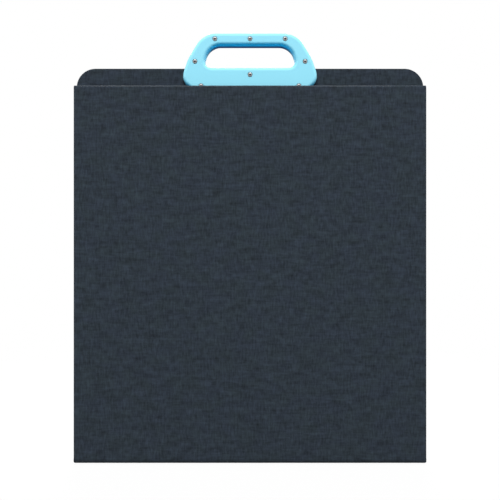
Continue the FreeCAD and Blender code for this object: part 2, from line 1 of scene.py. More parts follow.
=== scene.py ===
# %% [markdown]
# # A folding solar suitcase, from its frame to its looks
# The object is a case of four cloth-covered solar leaves that fold behind one another, with a
# light blue moulded handle clamped on the rear leaf. Its frame already exists as solid parts with
# joints. This lesson dresses that frame: every cover, fold, stitch, screw and shell is
# modelled at its real size in metres, in the same axes, so each piece drops into its place.

# %% The frame
import bmesh
import bpy
import math
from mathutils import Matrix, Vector


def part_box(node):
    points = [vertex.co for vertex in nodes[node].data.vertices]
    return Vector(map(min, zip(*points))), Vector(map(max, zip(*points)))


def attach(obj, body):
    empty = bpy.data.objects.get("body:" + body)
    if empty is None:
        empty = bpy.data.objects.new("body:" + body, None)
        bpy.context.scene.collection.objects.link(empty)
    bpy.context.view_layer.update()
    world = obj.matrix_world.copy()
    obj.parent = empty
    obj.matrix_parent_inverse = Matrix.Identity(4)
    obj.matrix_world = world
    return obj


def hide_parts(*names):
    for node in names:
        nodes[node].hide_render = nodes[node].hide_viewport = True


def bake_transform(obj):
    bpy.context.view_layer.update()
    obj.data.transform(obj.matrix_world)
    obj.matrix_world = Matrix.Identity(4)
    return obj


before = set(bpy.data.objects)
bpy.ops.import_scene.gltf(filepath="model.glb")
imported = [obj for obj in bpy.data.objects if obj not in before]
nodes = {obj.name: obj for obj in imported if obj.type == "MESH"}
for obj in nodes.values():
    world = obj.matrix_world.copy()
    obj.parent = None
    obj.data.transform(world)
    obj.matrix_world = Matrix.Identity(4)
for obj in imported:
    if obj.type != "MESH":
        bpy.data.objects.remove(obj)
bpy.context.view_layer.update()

# %% [markdown]
# ## Sizes that the whole lesson shares
# Makers of such cases think in millimetres, so one millimetre gets a name. The places of the
# pieces are read from the frame's own boxes, never typed in twice.

# %% Shared sizes
MM = 0.001
front_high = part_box("front_leaf_back_cover")[1]
rear_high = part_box("rear_leaf_back_cover")[1]
HALF = front_high[0]
CLOTH = 1.2 * MM
STANDS = ("lower_stand", "upper_stand")
print("case half width", round(HALF, 4), "front cover top", round(front_high[2], 4))

# %% [markdown]
# ## Working by hand, in code
# In the viewport a maker clicks an edge and bevels it. Here the click is a small test on the
# edge's place. Four helpers do the clicking: one adds a block at its size, one opens it for
# editing, one picks edges or faces, and one closes it. The others only give short names to what
# comes up again and again: rounding edges, taking faces off, pulling them out, cutting across.

# %% Hand tools
def let_go():
    bpy.ops.object.select_all(action="DESELECT")


def take(obj):
    let_go()
    obj.select_set(True)
    bpy.context.view_layer.objects.active = obj


def settle(obj, name):
    """Names a new piece and puts its place into its mesh."""
    obj.name = name
    obj.data.name = name
    take(obj)
    bpy.ops.object.transform_apply(location=True, rotation=True, scale=True)
    return obj


def block(name, low, high):
    let_go()
    centre = [(a + b) / 2 for a, b in zip(low, high)]
    bpy.ops.mesh.primitive_cube_add(size=1, location=centre)
    obj = bpy.context.object
    obj.scale = [b - a for a, b in zip(low, high)]
    return settle(obj, name)


def open_up(obj):
    take(obj)
    bpy.ops.object.mode_set(mode="EDIT")


def close_up(obj):
    bpy.ops.object.mode_set(mode="OBJECT")
    return obj


def start_block(name, node_name):
    """A block of a frame part's size, opened for editing."""
    low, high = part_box(node_name)
    obj = block(name, low, high)
    open_up(obj)
    return obj, low, high


def pick(obj, kind, test):
    """Selects the vertices, edges or faces that pass the test, and nothing else."""
    bpy.ops.mesh.select_mode(type=kind)
    bpy.ops.mesh.select_all(action="DESELECT")
    mesh = bmesh.from_edit_mesh(obj.data)
    mesh.normal_update()
    for item in {"VERT": mesh.verts, "EDGE": mesh.edges, "FACE": mesh.faces}[kind]:
        if test(item):
            item.select_set(True)
    mesh.select_flush_mode()
    bmesh.update_edit_mesh(obj.data)


# %% Knowing an edge by its place
# how nearly a face looks along an axis: roughly, or exactly
FLAT, SQUARE_ON = 0.9, 0.99


def middle(edge):
    return (edge.verts[0].co + edge.verts[1].co) / 2


def near(a, b, slack=0.05 * MM):
    return abs(a - b) < slack


def lies_at(edge, depth):
    """An edge with both its ends at one depth."""
    return near(edge.verts[0].co.y, depth) and near(edge.verts[1].co.y, depth)


def along(edge, axis):
    """An edge that runs along one axis."""
    a, b = edge.verts[0].co, edge.verts[1].co
    return all(near(a[i], b[i]) for i in range(3) if i != axis)


def joined(edge):
    """An edge between two faces, not on an open border."""
    return len(edge.link_faces) == 2


def rim(edge, axis=1):
    """An edge where a face that is square to the axis meets any other face."""
    flats = [abs(f.normal[axis]) > FLAT for f in edge.link_faces]
    return any(flats) and not all(flats)


# %% Rounding, taking off, pulling out and cutting through
def round_edges(obj, test, radius, segments):
    pick(obj, "EDGE", test)
    bpy.ops.mesh.bevel(offset=radius, segments=segments, affect="EDGES")


def take_off(obj, test):
    """Deletes the faces that pass the test."""
    pick(obj, "FACE", test)
    bpy.ops.mesh.delete(type="FACE")


def pull_edge(*move):
    bpy.ops.mesh.extrude_edges_move(TRANSFORM_OT_translate={"value": move})


def pull_face(depth):
    bpy.ops.mesh.extrude_region_move(TRANSFORM_OT_translate={"value": (0, depth, 0)})


def cut_across(axis, places):
    """Straight cuts through the open piece, square to one axis."""
    normal = [0.0, 0.0, 0.0]
    normal[axis] = 1.0
    for place in places:
        point = [0.0, 0.0, 0.0]
        point[axis] = place
        bpy.ops.mesh.select_all(action="SELECT")
        bpy.ops.mesh.bisect(plane_co=point, plane_no=normal)


def even_steps(low, high, step):
    count = max(1, round((high - low) / step))
    return [low + (high - low) * i / count for i in range(1, count)]


def cut_grid(low, high, step):
    """Cuts across and up, a step apart, that give cloth the points to lie a little unevenly."""
    cut_across(0, even_steps(low[0], high[0], step))
    cut_across(2, even_steps(low[2], high[2], step))


def apply_modifier(obj, kind, **settings):
    take(obj)
    modifier = obj.modifiers.new(kind.lower(), kind)
    for key, value in settings.items():
        setattr(modifier, key, value)
    bpy.ops.object.modifier_apply(modifier=modifier.name)
    return obj


# %% [markdown]
# ## The camera and the studio
# The case is looked at straight from the front, from about a metre and a half away and at half
# its height. One large soft lamp hangs high in front: upward edges catch more of it than the
# front face, and undersides fall into shade. A weak lamp on each side keeps the edges readable,
# and one behind lights the back of the case.

# %% Camera
camera_data = bpy.data.cameras.new("view")
camera = bpy.data.objects.new("view", camera_data)
bpy.context.collection.objects.link(camera)
camera.location = (0.0, -1.4752, 0.3572)
camera.rotation_euler = (math.radians(90), 0.0, 0.0)
camera_data.lens = 62.45
camera_data.sensor_width = 36.0
bpy.context.scene.camera = camera
bpy.context.scene.view_settings.view_transform = "Standard"
print("camera at", tuple(camera.location))


# %% Lamps
CASE_MIDDLE = Vector((0.0, 0.0, 0.36))


def soft_lamp(name, place, size, power):
    data = bpy.data.lights.new(name, "AREA")
    data.shape = "RECTANGLE"
    data.size, data.size_y = size
    data.energy = power
    lamp = bpy.data.objects.new(name, data)
    bpy.context.collection.objects.link(lamp)
    lamp.location = place
    lamp.rotation_euler = (CASE_MIDDLE - Vector(place)).to_track_quat("-Z", "Y").to_euler()
    print(name, "gives", power, "watts")


soft_lamp("key", (0.0, -4.4, 5.4), (4.5, 2.8), 512.0)
soft_lamp("left_fill", (-2.6, 0.0, 1.2), (1.2, 1.6), 26.0)
soft_lamp("right_fill", (2.6, 0.0, 1.2), (1.2, 1.6), 26.0)
soft_lamp("back_light", (0.0, 2.8, 2.2), (2.2, 1.6), 95.0)

# %% [markdown]
# ## Wiring nodes
# A material is a net of small nodes. In the shader editor each one is added, set and wired by
# hand. Here one helper adds a node together with all that goes into it, numbers and wires alike,
# and a few more add what comes up again and again: sums, mixes, ramps and a soft noise.

# %% Node helpers
def feed(tree, value, socket):
    """Puts a number or colour into an input, or wires another node's output to it."""
    if isinstance(value, bpy.types.NodeSocket):
        tree.links.new(value, socket)
    else:
        socket.default_value = value


def node(tree, kind, **values):
    """Adds a node: Base_Color fills its input "Base Color", and other words are settings."""
    made = tree.nodes.new("ShaderNode" + kind)
    for key, value in values.items():
        label = key.replace("_", " ")
        if label in made.inputs.keys():
            feed(tree, value, made.inputs[label])
        else:
            setattr(made, key, value)
    return made


def maths(tree, operation, *values):
    made = node(tree, "Math", operation=operation)
    for i, value in enumerate(values):
        feed(tree, value, made.inputs[i])
    return made.outputs[0]


def blend_colours(tree, factor, a, b, kind="MIX"):
    made = node(tree, "Mix", data_type="RGBA", blend_type=kind)
    for i, value in ((0, factor), (6, a), (7, b)):
        feed(tree, value, made.inputs[i])
    return made.outputs[2]


def ramp(tree, value, start, end, low=0.0, high=1.0, curve="LINEAR"):
    """Goes from low to high while the value goes from start to end."""
    return node(tree, "MapRange", interpolation_type=curve, Value=value, From_Min=start,
                From_Max=end, To_Min=low, To_Max=high).outputs[0]


def vector_maths(tree, operation, vector, **values):
    made = node(tree, "VectorMath", operation=operation, **values)
    feed(tree, vector, made.inputs[0])
    return made.outputs


def uneven(tree, vector, stretch, detail=2.0, rough=0.5, shift=0.0):
    """Soft noise with a cell of 1/stretch metres along each direction."""
    place = node(tree, "Mapping", Vector=vector, Scale=stretch,
                 Location=(shift, shift * 0.7, shift * 0.3))
    return node(tree, "TexNoise", Vector=place.outputs[0], Scale=1.0, Detail=detail,
                Roughness=rough).outputs[0]


def swing(tree, noise, amount, centre=0.5):
    """A noise as a change to either side of nothing."""
    return maths(tree, "MULTIPLY", maths(tree, "SUBTRACT", noise, centre), amount)


# %% [markdown]
# ## White all round
# The studio is white paper. A camera ray that misses the case sees plain white, and so does a
# reflection, which is what makes bare metal look bright. The light that the paper itself sends
# back onto the case is kept low, so that the lamps decide the shading.

# %% White surroundings
PAPER_LIGHT = 0.06

world = bpy.data.worlds.new("white_paper")
bpy.context.scene.world = world
world.use_nodes = True
tree = world.node_tree
tree.nodes.clear()
rays = node(tree, "LightPath").outputs
seen = maths(tree, "MAXIMUM", rays["Is Camera Ray"], rays["Is Glossy Ray"])
seen = maths(tree, "MAXIMUM", seen, rays["Is Transmission Ray"])
strength = ramp(tree, seen, 0.0, 1.0, PAPER_LIGHT, 1.0)
sky = node(tree, "Background", Color=(1, 1, 1, 1), Strength=strength)
node(tree, "OutputWorld", Surface=sky.outputs[0])
print("surroundings:", len(tree.nodes), "nodes")

# %% [markdown]
# ## A floor that does not hide anything
# When the leaves are let down they reach below the level the case stands on. So the floor is a
# thin layer that is seen through and only takes a little light away: light that the lamps send
# past the case still marks its shadow, close in and fading outwards, and a leaf below the floor
# is seen too. Its own white is weak, and gone further out, or it would lie over the leaves as fog.

# %% Floor
def new_material(name):
    made = bpy.data.materials.new(name)
    made.use_nodes = True
    made.node_tree.nodes.clear()
    return made, made.node_tree


FADE_FROM, FADE_TO = 0.45, 1.6
# white that the camera sees close in, white that every other ray meets, and light let through
VEIL, BOUNCE, PASSES = 0.06, 0.2, 0.93

let_go()
bpy.ops.mesh.primitive_plane_add(size=14.0, location=(0, 0, -0.5 * MM))
floor = settle(bpy.context.object, "floor")
paper, tree = new_material("floor_paper")
rays = node(tree, "LightPath").outputs
away = vector_maths(tree, "LENGTH", node(tree, "TexCoord").outputs["Object"])["Value"]
veil = ramp(tree, away, FADE_FROM, FADE_TO, VEIL, 0.0)
white = ramp(tree, rays["Is Camera Ray"], 0.0, 1.0, BOUNCE, veil)
let_through = maths(tree, "MULTIPLY", maths(tree, "SUBTRACT", 1.0, rays["Is Diffuse Ray"]),
                    ramp(tree, away, FADE_FROM, FADE_TO, PASSES, 1.0))
both = node(tree, "AddShader")
feed(tree, node(tree, "BsdfDiffuse", Color=white).outputs[0], both.inputs[0])
feed(tree, node(tree, "BsdfTransparent", Color=let_through).outputs[0], both.inputs[1])
node(tree, "OutputMaterial", Surface=both.outputs[0])
floor.data.materials.append(paper)
print("floor paper:", len(tree.nodes), "nodes")

# %% [markdown]
# ## Woven cover cloth
# The covers are a dark blue-grey polyester, woven from yarns that are spun a little unevenly, so
# the cloth looks streaked and mottled from a distance and shows its weave close up. The pattern
# must follow the cloth, so it reads a map in metres that every cloth piece carries. One group
# makes the weave, and each cloth material gives it its own colour and strength.

# %% Streaks and mottling
def new_group(name, inputs, outputs):
    group = bpy.data.node_groups.new(name, "ShaderNodeTree")
    for label, kind, value in inputs:
        socket = group.interface.new_socket(name=label, in_out="INPUT",
                                            socket_type="NodeSocket" + kind)
        if value is not None:
            socket.default_value = value
    for label, kind in outputs:
        group.interface.new_socket(name=label, in_out="OUTPUT", socket_type="NodeSocket" + kind)
    given, looks = group.nodes.new("NodeGroupInput"), group.nodes.new("NodeGroupOutput")
    return group, given.outputs, looks.inputs


LOOKS = [("Colour", "Color"), ("Roughness", "Float"), ("Height", "Float")]
weave, given, looks = new_group(
    "weave",
    [("Vector", "Vector", None), ("Colour", "Color", (0.03, 0.04, 0.05, 1)),
     ("Streaks", "Float", 0.3), ("Mottling", "Float", 0.2), ("Yarns per metre", "Float", 900.0)],
    LOOKS,
)
# cells per metre across and up the cloth: upright streaks, level ones, patches, changes of tint
upright = uneven(weave, given["Vector"], (360.0, 72.0, 360.0), 2.0, 0.6)
crosswise = uneven(weave, given["Vector"], (50.0, 330.0, 50.0), 2.0, 0.6, 7.0)
patches = uneven(weave, given["Vector"], (46.0, 104.0, 46.0), 4.0, 0.65, 13.0)
tint = uneven(weave, given["Vector"], (38.0, 52.0, 38.0), 2.0, 0.5, 29.0)
both_ways = maths(weave, "MULTIPLY_ADD", crosswise, 0.55, upright)
streak = swing(weave, both_ways, given["Streaks"], 0.775)
patch = swing(weave, patches, given["Mottling"])
bright = maths(weave, "ADD", maths(weave, "ADD", streak, patch), 1.0)
shaded = vector_maths(weave, "SCALE", given["Colour"], Scale=bright)[0]
warm_cool = blend_colours(weave, ramp(weave, tint, 0.35, 0.65),
                          (0.99, 1.005, 0.955, 1), (1.01, 0.995, 1.045, 1))
feed(weave, blend_colours(weave, 1.0, shaded, warm_cool, "MULTIPLY"), looks["Colour"])


# %% The yarns themselves, in the same group
def xyz(tree, vector):
    """The three parts of a place or a direction."""
    return node(tree, "SeparateXYZ", Vector=vector).outputs


places = xyz(weave, given["Vector"])
turn = maths(weave, "MULTIPLY", given["Yarns per metre"], math.pi)
warp = maths(weave, "SINE", maths(weave, "MULTIPLY", places[0], turn))
weft = maths(weave, "SINE", maths(weave, "MULTIPLY", places[1], turn))
lift = maths(weave, "MULTIPLY_ADD", maths(weave, "MULTIPLY", warp, weft), 0.5, 0.5)
feed(weave, maths(weave, "MULTIPLY_ADD", upright, 0.6, lift), looks["Height"])
feed(weave, maths(weave, "MULTIPLY_ADD", patches, 0.14, 0.78), looks["Roughness"])
print("weave group:", len(weave.nodes), "nodes")


# %% A cloth material
def patterned(name, pattern, where, settings, bump, depth, **shine):
    """A group's colour, roughness and relief on one plain finish, with its own shine."""
    made, tree = new_material(name)
    group = node(tree, "Group", node_tree=pattern)
    feed(tree, where(tree), group.inputs["Vector"])
    for label, value in settings.items():
        feed(tree, value, group.inputs[label])
    out = group.outputs
    relief = node(tree, "Bump", Strength=bump, Distance=depth, Height=out["Height"])
    finish = node(tree, "BsdfPrincipled", Base_Color=out["Colour"], Roughness=out["Roughness"],
                  Normal=relief.outputs[0], **shine)
    node(tree, "OutputMaterial", Surface=finish.outputs[0])
    print("finish:", name)
    return made


def on_cloth(tree):
    return node(tree, "UVMap", uv_map="cloth").outputs["UV"]


def cloth(name, colour, streaks, mottling, yarns=900.0, bump=0.35, sheen=0.08):
    settings = {"Colour": (*colour, 1), "Streaks": streaks, "Mottling": mottling,
                "Yarns per metre": yarns}
    return patterned(name, weave, on_cloth, settings, bump, 0.2 * MM, Specular_IOR_Level=0.12,
                     Sheen_Weight=sheen, Sheen_Roughness=0.5)


cover_cloth = cloth("cover_cloth", (0.0259, 0.0362, 0.0489), 1.4, 1.5)


# %% [markdown]
# ## A map in metres
# The weave has to have the same size on every piece and run on from a cover to the fold under
# it. Unwrapping gives each piece its own scale, so the map is worked out from the faces instead:
# a face that looks forwards or backwards takes its width and height, one that looks sideways
# its depth and height, and one that looks up or down its width and depth.

# %% Cloth map
def map_cloth(obj):
    layer = obj.data.uv_layers.new(name="cloth")
    flat = []
    for face in obj.data.polygons:
        facing = max(range(3), key=lambda i: abs(face.normal[i]))
        u, v = {0: (1, 2), 1: (0, 2), 2: (0, 1)}[facing]
        for corner in face.vertices:
            co = obj.data.vertices[corner].co
            flat.extend((co[u], co[v]))
    layer.data.foreach_set("uv", flat)


def dress(obj, body, material, slot, *stands_for):
    """Smooths and finishes a piece, and lets it ride on its body."""
    take(obj)
    bpy.ops.object.shade_smooth_by_angle(angle=math.radians(32))
    apply_modifier(obj, "WEIGHTED_NORMAL", keep_sharp=True)
    obj.data.materials.clear()
    obj.data.materials.append(material)
    if stands_for:
        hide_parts(*stands_for)
    if body:
        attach(obj, body)
    print(obj.name, "faces:", len(obj.data.polygons))


def wear_cloth(obj, body, *stands_for):
    map_cloth(obj)
    dress(obj, body, cover_cloth, "cover_cloth", *stands_for)


# %% [markdown]
# ## The front cover
# On the real case the cloth is pulled round a stiff board and sewn on its inner side, so the
# front is flat, the top edge rolls over softly, the sides turn tightly, and below it runs on
# into the fold that the case stands on. A block of the leaf's size is opened on its inner side
# and its foot, the top edge gets a wide bevel and the side edges a narrow one. Cuts every
# centimetre then give the cloth enough points to lie a little unevenly.

# %% A cover pulled over its board
TOP_ROLL = 4.2 * MM
SIDE_ROLL = 1.3 * MM
CUTS = 10 * MM


def start_shell(name, node_name, outwards, corner, open_foot=False):
    """A block without its inner side, and if its cloth runs on below, without its foot."""
    obj, low, high = start_block(name, node_name)
    take_off(obj, lambda f: f.normal.y * outwards < -FLAT or open_foot and f.normal.z < -FLAT)
    if corner:
        round_edges(obj, lambda e: near(middle(e).z, high[2]) and near(abs(middle(e).x), HALF),
                    corner, 14)
    return obj, high[1] if outwards > 0 else low[1]


def start_cover(name, node_name, outwards, top_roll=0.0, corner=0.0):
    low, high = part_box(node_name)
    obj, outer = start_shell(name, node_name, outwards, corner, open_foot=True)
    if top_roll:
        round_edges(obj, lambda e: near(middle(e).y, outer) and near(middle(e).z, high[2]),
                    top_roll, 7)
        round_edges(obj, lambda e: joined(e) and rim(e, 0), SIDE_ROLL, 3)
    else:
        round_edges(obj, lambda e: joined(e) and lies_at(e, outer), SIDE_ROLL, 3)
    cut_grid(low, high, CUTS)
    return close_up(obj)


front_cover = start_cover("front_cover", "front_leaf_back_cover", -1, TOP_ROLL)


# %% Cloth never lies quite flat
def push_by_noise(obj, size, strength, detail=2, **settings):
    """Moves points in or out by a soft noise whose bumps are this far apart."""
    cloud = bpy.data.textures.new(obj.name + "_noise", "CLOUDS")
    cloud.noise_scale = size
    cloud.noise_depth = detail
    return apply_modifier(obj, "DISPLACE", texture=cloud, texture_coords="LOCAL", direction="Y",
                          strength=strength, **settings)


def ripple(obj, size=0.11, height=0.5 * MM):
    return push_by_noise(obj, size, height, 1, mid_level=0.5)


def finish_cover(cover, leaf):
    """Ripples the cover a little and dresses it in cloth on its leaf, in place of the frame's
    cover.
    """
    node_name = leaf + "_leaf_back_cover"
    ripple(cover)
    wear_cloth(cover, leaf + "_leaf", node_name)


finish_cover(front_cover, "front")

# %% [markdown]
# ## The other three covers
# The inner leaves are covered in the same way, but their tops run on into a fold, so nothing is
# rolled there. The rear leaf stands taller: its top is the tab that carries the handle, with two
# large round corners and a notch in the middle where the handle's sill sits.

# %% Inner and rear covers
NOTCH_HALF = 92.0 * MM
NOTCH_DEEP = 7.0 * MM
NOTCH_Z = rear_high[2] - NOTCH_DEEP
TAB_RADIUS = 32.0 * MM


def notch(obj):
    """Cuts the tab away under the finger opening, where the handle's sill takes its place."""
    open_up(obj)
    cut_across(0, (-NOTCH_HALF, NOTCH_HALF))
    cut_across(2, (NOTCH_Z,))
    take_off(obj, lambda f: abs(f.calc_center_median().x) < NOTCH_HALF
             and f.calc_center_median().z > NOTCH_Z)
    return close_up(obj)


covers = {
    "third": start_cover("third_cover", "third_leaf_back_cover", 1),
    "second": start_cover("second_cover", "second_leaf_back_cover", -1),
    "rear": notch(start_cover("rear_cover", "rear_leaf_back_cover", 1, corner=TAB_RADIUS)),
}
for leaf, cover in covers.items():
    finish_cover(cover, leaf)

# %% [markdown]
# ## Cloth folds
# Two leaves that fold shut are joined by a strip of their own cover cloth. Under the case the
# strip is a soft U that the case stands on, and over the inner leaves it is a narrow bend. Each
# is a block without its open side and ends, its two long edges rounded, and given the cloth's
# thickness. The strips below hang a little, so their roll is taller than it is deep: the round
# bend is made first and then stretched down to the height of the strip.

# %% A fold
def cloth_fold(name, node_name, open_side, radius, segments):
    obj, low, high = start_block(name, node_name)
    closed_z = low[2] if open_side > 0 else high[2]
    take_off(obj, lambda f: f.normal.z * open_side > FLAT or abs(f.normal.x) > FLAT)
    round_edges(obj, lambda e: joined(e) and near(middle(e).z, closed_z), radius, segments)
    cut_across(0, even_steps(low[0], high[0], CUTS))
    return close_up(obj)


def tall_roll(obj, height, radius):
    """The strip hangs down between its leaves, so it rolls over more height than depth."""
    round_height = radius + 0.2 * MM
    open_up(obj)
    pick(obj, "VERT", lambda v: near(v.co.z, height))
    bpy.ops.transform.translate(value=(0, 0, round_height - height))
    bpy.ops.mesh.select_all(action="SELECT")
    bpy.ops.transform.resize(value=(1, 1, height / round_height), center_override=(0, 0, 0))
    return close_up(obj)


def round_ends(obj, radius):
    """Takes off the two lower end corners with straight cuts that follow a round one."""
    open_up(obj)
    for side in (-1, 1):
        for degrees in (22.5, 45, 67.5):
            turn = math.radians(degrees)
            outwards = Vector((side * math.cos(turn), 0, -math.sin(turn)))
            centre = Vector((side * (HALF - radius), 0, radius))
            bpy.ops.mesh.select_all(action="SELECT")
            bpy.ops.mesh.bisect(plane_co=centre + radius * outwards, plane_no=outwards,
                                clear_outer=True)
    return close_up(obj)


# %% The three folds
FOOT_ROUND = 6.0 * MM
FOOT_CORNER = 3.0 * MM
TOP_ROUND = 1.9 * MM


def finish_fold(obj, node_name):
    ripple(obj)
    apply_modifier(obj, "SOLIDIFY", thickness=CLOTH, offset=-1.0, use_even_offset=True)
    wear_cloth(obj, None, node_name)
    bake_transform(obj)


for name, first, second in (("front_bottom_fold", "third_leaf", "front_leaf"),
                            ("rear_bottom_fold", "rear_leaf", "second_leaf")):
    low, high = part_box(name)
    fold = cloth_fold(name.replace("bottom", "foot"), name, 1, FOOT_ROUND, 8)
    fold = round_ends(tall_roll(fold, high[2], FOOT_ROUND), FOOT_CORNER)
    finish_fold(fold, name)

low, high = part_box("top_fold")
fold = cloth_fold("upper_fold", "top_fold", -1, TOP_ROUND, 6)
finish_fold(fold, "top_fold")

# %% [markdown]
# ## The face frames
# On its cell side each leaf is closed by a frame of the same cloth, sewn to the cover round the
# edge, with a window for the solar panel. The same steps make all four: a block, its inner side
# taken off, the window cut and pushed in by the cloth's thickness, and soft rims. On the rear
# leaf this piece is also the front of the tab that shows above the case.

# %% A face frame
WINDOW = 259.0 * MM
FRAME_ROLL = 0.9 * MM
WINDOW_ROLL = 0.5 * MM
clear_low, clear_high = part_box("front_leaf_clear_sheet")
window_middle = (clear_low[2] + clear_high[2]) / 2


def in_window(point, slack=0.0):
    return abs(point.x) < WINDOW + slack and abs(point.z - window_middle) < WINDOW + slack


def edge_of_window(point):
    across, up = abs(point.x), abs(point.z - window_middle)
    return in_window(point, 0.1 * MM) and (near(across, WINDOW) or near(up, WINDOW))


def face_frame(name, node_name, outwards, corner=0.0):
    obj, outer = start_shell(name, node_name, outwards, corner)
    round_edges(obj, lambda e: joined(e) and near(middle(e).y, outer), FRAME_ROLL, 3)
    cut_across(0, (-WINDOW, WINDOW))
    cut_across(2, (window_middle - WINDOW, window_middle + WINDOW))
    pick(obj, "FACE", lambda f: in_window(f.calc_center_median()) and f.normal.y * outwards > FLAT)
    pull_face(-outwards * CLOTH)
    bpy.ops.mesh.delete(type="FACE")
    round_edges(obj, lambda e: near(middle(e).y, outer) and edge_of_window(middle(e)),
                WINDOW_ROLL, 3)
    return close_up(obj)


rear_frame = face_frame("rear_face_frame", "rear_leaf_face_cover", -1, corner=TAB_RADIUS)

# %% The four frames in place
notch(rear_frame)
frames = {"rear": rear_frame}
for leaf, outwards in (("second", 1), ("third", -1), ("front", 1)):
    frames[leaf] = face_frame(leaf + "_face_frame", leaf + "_leaf_face_cover", outwards)
for leaf, face in frames.items():
    wear_cloth(face, leaf + "_leaf", leaf + "_leaf_face_cover")
    low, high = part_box(leaf + "_leaf_face_cover")
    strip = HALF - WINDOW

# %% [markdown]
# ## The moulded handle
# Two moulded halves clamp the tab. Each is drawn as it would be sketched: a foot, wide hips just
# above it, a side that narrows to the shoulder and again to the top, all with large radii. The
# finger opening is a second outline, cut through. Only then are the edges rounded, because
# rounding after the cut gives the grip the same soft edge all the way round.

# %% A block from an outline
def flat_sheet(name, place, width, length, tilt=0):
    """A flat sheet, which a tilt of 90 degrees stands upright."""
    let_go()
    bpy.ops.mesh.primitive_plane_add(size=1, location=place, rotation=(math.radians(tilt), 0, 0))
    obj = bpy.context.object
    obj.scale = (width, length, 1)
    settle(obj, name)
    open_up(obj)
    return obj


def upright_sheet(name, widths, heights, depth):
    """A sheet that faces forwards, with its half widths at heights, from the foot up."""
    place = (0, depth, (heights[0] + heights[1]) / 2)
    obj = flat_sheet(name, place, 2 * widths[0], heights[1] - heights[0], 90)
    pick(obj, "EDGE", lambda e: near(middle(e).z, heights[1]))
    bpy.ops.transform.resize(value=(widths[1] / widths[0], 1, 1))
    for i in range(2, len(widths)):
        pull_edge(0, 0, heights[i] - heights[i - 1])
        bpy.ops.transform.resize(value=(widths[i] / widths[i - 1], 1, 1))
    pick(obj, "EDGE", joined)
    bpy.ops.mesh.dissolve_edges(use_verts=False)
    return obj


def turn_corners(obj, height, width, radius, turn, segments):
    """Rounds the two corners at a height; turn is how many degrees the outline turns there."""
    reach = radius * math.tan(math.radians(turn / 2))
    pick(obj, "VERT", lambda v: near(v.co.z, height, 0.2 * MM)
         and near(abs(v.co.x), width, 0.2 * MM))
    bpy.ops.mesh.bevel(offset=reach, segments=segments, affect="VERTICES")


def outlined_block(name, outline, y0, y1):
    """A row of the outline: height, half width, corner radius, its turn, and its segments."""
    obj = upright_sheet(name, [row[1] for row in outline], [row[0] for row in outline], y0)
    for row in outline:
        turn_corners(obj, *row)
    bpy.ops.mesh.select_all(action="SELECT")
    pull_face(y1 - y0)
    bpy.ops.mesh.select_all(action="SELECT")
    bpy.ops.mesh.normals_make_consistent(inside=False)
    return close_up(obj)


# %% The handle's two outlines
shell_low, shell_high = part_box("handle_front_shell")
back_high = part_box("handle_rear_shell")[1]
FOOT_Z, TOP_Z = shell_low[2], shell_high[2]
SILL_Z = NOTCH_Z + 6.1 * MM
UNDER_Z = SILL_Z + 38.4 * MM
OUTSIDE = (
    (FOOT_Z, 94.1 * MM, 8 * MM, 40, 5),
    (FOOT_Z + 15.9 * MM, 113.0 * MM, 18.5 * MM, 50, 10),
    (FOOT_Z + 30.7 * MM, 113.0 * MM, 31.5 * MM, 19.1, 5),
    (SILL_Z + 16.1 * MM, 104.4 * MM, 60 * MM, 12.8, 4),
    (TOP_Z, 78.6 * MM, 36 * MM, 58.6, 14),
)
FINGERS = ((SILL_Z, 81 * MM, 12.5 * MM, 108.7, 12), (UNDER_Z, 68 * MM, 25 * MM, 71.3, 14))
print("handle height", round(TOP_Z - FOOT_Z, 4), "finger opening", round(UNDER_Z - SILL_Z, 4))


# %% Cutting one piece out of another
def carve(obj, *cutters):
    for cutter in cutters:
        apply_modifier(obj, "BOOLEAN", object=cutter, operation="DIFFERENCE", solver="EXACT")
        bpy.data.objects.remove(cutter)
    return obj


def tab_cutters(y0, y1):
    """Blocks in the shape of the tab, with its notch, that leave it room between the halves."""
    gap, low, wide = 0.3 * MM, 0.55, 0.2
    top, side = rear_high[2] + gap, NOTCH_HALF - gap
    return [
        block("cut_low", (-wide, y0, low), (wide, y1, top - NOTCH_DEEP)),
        block("cut_left", (-wide, y0, low), (-side, y1, top)),
        block("cut_right", (side, y0, low), (wide, y1, top)),
    ]


def handle_half(name, y0, y1):
    past = 10 * MM
    half = outlined_block(name, OUTSIDE, y0, y1)
    return carve(half, outlined_block("cut_fingers", FINGERS, y0 - past, y1 + past))


def round_face(obj, y, radius, segments):
    open_up(obj)
    pick(obj, "EDGE", lambda e: lies_at(e, y) and rim(e))
    bpy.ops.mesh.bevel(offset=radius, segments=segments, affect="EDGES", clamp_overlap=False)
    return close_up(obj)


# %% Both halves
FRONT_ROUND, BACK_ROUND, PARTING_ROUND = 5.6 * MM, 3.0 * MM, 0.35 * MM

parting = shell_high[1]
tab_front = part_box("rear_leaf_face_cover")[0][1]
front_half = handle_half("handle_front_half", shell_low[1], parting)
rear_half = handle_half("handle_rear_half", parting, back_high[1])
round_face(front_half, shell_low[1], FRONT_ROUND, 8)
round_face(front_half, parting, PARTING_ROUND, 2)
round_face(rear_half, back_high[1], BACK_ROUND, 6)
round_face(rear_half, parting, PARTING_ROUND, 2)
carve(front_half, *tab_cutters(tab_front, parting + 2 * MM))
carve(rear_half, *tab_cutters(parting - 2 * MM, rear_high[1]))
print("handle halves:", len(front_half.data.polygons), "and", len(rear_half.data.polygons), "faces")

# %% [markdown]
# ## Screws and their seats
# Eight zinc-plated pan-head screws hold the halves together. Each head sits in a shallow round
# seat with a narrow dark gap round it. One seat cutter and one screw are made, then copied.

